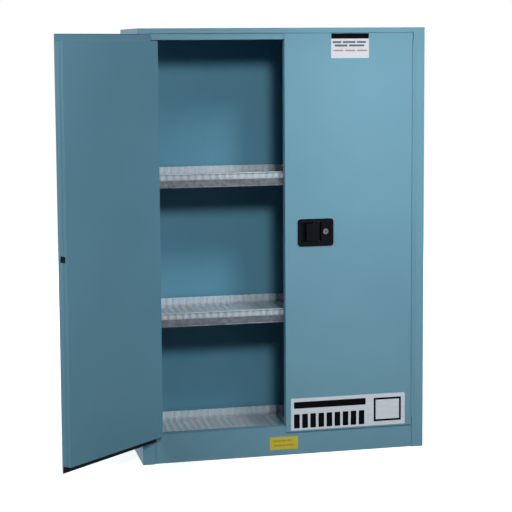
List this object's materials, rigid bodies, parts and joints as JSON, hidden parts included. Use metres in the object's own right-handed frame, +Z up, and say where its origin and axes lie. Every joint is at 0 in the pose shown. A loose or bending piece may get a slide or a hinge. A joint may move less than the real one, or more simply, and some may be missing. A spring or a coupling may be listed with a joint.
{
  "type": "safety storage cabinet",
  "caption": "Double-walled steel safety storage cabinet with two hinged doors, a recessed paddle latch, adjustable shelves with plastic trays, a sump and vents on both sides.",
  "frame": {"origin": "on the floor, in the middle of the rear base flange's underside", "axes": "+X to the right of someone who faces the doors, +Y to the back, +Z up"},
  "size_m": [1.4749, 0.8255, 1.651],
  "materials": {
    "blue_paint": "satin powder coat with a fine grain",
    "zinc_steel": "zinc-coated, dull",
    "bright_steel": "plain steel, fairly smooth",
    "black_plastic": "fine-grained moulding",
    "white_plastic": "milky, slightly see-through polyethylene",
    "brass": "wire screen, dull"
  },
  "bodies": {
    "carcass": {"outer_side_left": "blue_paint", "outer_side_right": "blue_paint", "outer_back": "blue_paint", "outer_top": "blue_paint", "outer_floor": "blue_paint", "header": "blue_paint", "plinth": "blue_paint", "inner_side_left": "blue_paint", "inner_side_right": "blue_paint", "inner_back": "blue_paint", "inner_top": "blue_paint", "sump_pan": "blue_paint", "vent_bung_left": "blue_paint", "vent_bung_right": "blue_paint", "hinge_frame_leaf_left": "blue_paint", "hinge_frame_leaf_right": "blue_paint", "vent_sleeve_left": "zinc_steel", "vent_sleeve_right": "zinc_steel", "ground_stud": "zinc_steel", "standard_front_left": "zinc_steel", "standard_front_right": "zinc_steel", "standard_rear_left": "zinc_steel", "standard_rear_right": "zinc_steel", "clip_lower_front_left": "zinc_steel", "clip_lower_front_right": "zinc_steel", "clip_lower_rear_left": "zinc_steel", "clip_lower_rear_right": "zinc_steel", "clip_upper_front_left": "zinc_steel", "clip_upper_front_right": "zinc_steel", "clip_upper_rear_left": "zinc_steel", "clip_upper_rear_right": "zinc_steel", "hinge_pin_left": "bright_steel", "hinge_pin_right": "bright_steel", "flame_arrester_left": "brass", "flame_arrester_right": "brass"},
    "door_left": {"door_skin_left": "blue_paint", "door_pan_left": "blue_paint", "hinge_door_leaf_left": "blue_paint", "strike_plate": "black_plastic"},
    "door_right": {"door_skin_right": "blue_paint", "door_pan_right": "blue_paint", "hinge_door_leaf_right": "blue_paint", "latch_housing": "black_plastic", "paddle_pin": "bright_steel"},
    "paddle_body": {"paddle": "black_plastic"},
    "cam_body": {"latch_cam": "zinc_steel"},
    "top_rod_body": {"latch_rod_top": "zinc_steel"},
    "bottom_rod_body": {"latch_rod_bottom": "zinc_steel"},
    "centre_bolt_body": {"centre_bolt": "zinc_steel"},
    "key_body": {"key_cylinder": "bright_steel"},
    "shelf_lower_body": {"shelf_lower": "zinc_steel"},
    "shelf_upper_body": {"shelf_upper": "zinc_steel"},
    "tray_lower_body": {"tray_lower": "white_plastic"},
    "tray_upper_body": {"tray_upper": "white_plastic"},
    "tray_sump_body": {"tray_sump": "white_plastic"},
    "foot_front_left_body": {"foot_front_left": "zinc_steel"},
    "foot_front_right_body": {"foot_front_right": "zinc_steel"},
    "foot_rear_left_body": {"foot_rear_left": "zinc_steel"},
    "foot_rear_right_body": {"foot_rear_right": "zinc_steel"}
  },
  "joints": [
    {"name": "left_door_swing", "type": "hinge", "parent": "carcass", "child": "door_left", "pos_m": [-0.51205, -0.4474, 0.86], "axis": [0, 0, -1], "range_deg": [-139, 31]},
    {"name": "right_door_swing", "type": "hinge", "parent": "carcass", "child": "door_right", "pos_m": [0.51205, -0.4474, 0.86], "axis": [0, 0, 1], "range_deg": [0, 170]},
    {"name": "paddle_pull", "type": "hinge", "parent": "door_right", "child": "paddle_body", "pos_m": [0.135, -0.4402, 0.871], "axis": [0, 0, 1], "range_deg": [-9, 9]},
    {"name": "cam_turn", "type": "hinge", "parent": "door_right", "child": "cam_body", "pos_m": [0.12698, -0.4234, 0.888], "axis": [0, -1, 0], "range_deg": [-13.6, 13.6]},
    {"name": "top_bolt_travel", "type": "slide", "parent": "door_right", "child": "top_rod_body", "axis": [0, 0, 1], "range_m": [-0.00868, 0.00868]},
    {"name": "bottom_bolt_travel", "type": "slide", "parent": "door_right", "child": "bottom_rod_body", "axis": [0, 0, 1], "range_m": [-0.00848, 0.00848]},
    {"name": "centre_bolt_travel", "type": "slide", "parent": "door_right", "child": "centre_bolt_body", "axis": [1, 0, 0], "range_m": [-0.00868, 0.00868]},
    {"name": "key_turn", "type": "hinge", "parent": "door_right", "child": "key_body", "pos_m": [0.161, -0.4442, 0.872], "axis": [0, -1, 0], "range_deg": [0, 90]},
    {"name": "lower_shelf_lift", "type": "slide", "parent": "carcass", "child": "shelf_lower_body", "axis": [0, 0, 1], "range_m": [0, 0.02]},
    {"name": "upper_shelf_lift", "type": "slide", "parent": "carcass", "child": "shelf_upper_body", "axis": [0, 0, 1], "range_m": [0, 0.02]},
    {"name": "lower_tray_lift", "type": "slide", "parent": "shelf_lower_body", "child": "tray_lower_body", "axis": [0, 0, 1], "range_m": [0, 0.03]},
    {"name": "upper_tray_lift", "type": "slide", "parent": "shelf_upper_body", "child": "tray_upper_body", "axis": [0, 0, 1], "range_m": [0, 0.03]},
    {"name": "sump_tray_lift", "type": "slide", "parent": "carcass", "child": "tray_sump_body", "axis": [0, 0, 1], "range_m": [0, 0.03]},
    {"name": "front_left_foot_screw", "type": "slide", "parent": "carcass", "child": "foot_front_left_body", "axis": [0, 0, 1], "range_m": [-0.025, 0]},
    {"name": "front_right_foot_screw", "type": "slide", "parent": "carcass", "child": "foot_front_right_body", "axis": [0, 0, 1], "range_m": [-0.025, 0]},
    {"name": "rear_left_foot_screw", "type": "slide", "parent": "carcass", "child": "foot_rear_left_body", "axis": [0, 0, 1], "range_m": [-0.025, 0]},
    {"name": "rear_right_foot_screw", "type": "slide", "parent": "carcass", "child": "foot_rear_right_body", "axis": [0, 0, 1], "range_m": [-0.025, 0]}
  ],
  "couplings": [
    {"joint": "paddle_pull", "follows": "bottom_bolt_travel", "rad_per_m": 18.518},
    {"joint": "cam_turn", "follows": "bottom_bolt_travel", "rad_per_m": 27.778},
    {"joint": "top_bolt_travel", "follows": "bottom_bolt_travel", "ratio": -1},
    {"joint": "centre_bolt_travel", "follows": "bottom_bolt_travel", "ratio": 1}
  ]
}
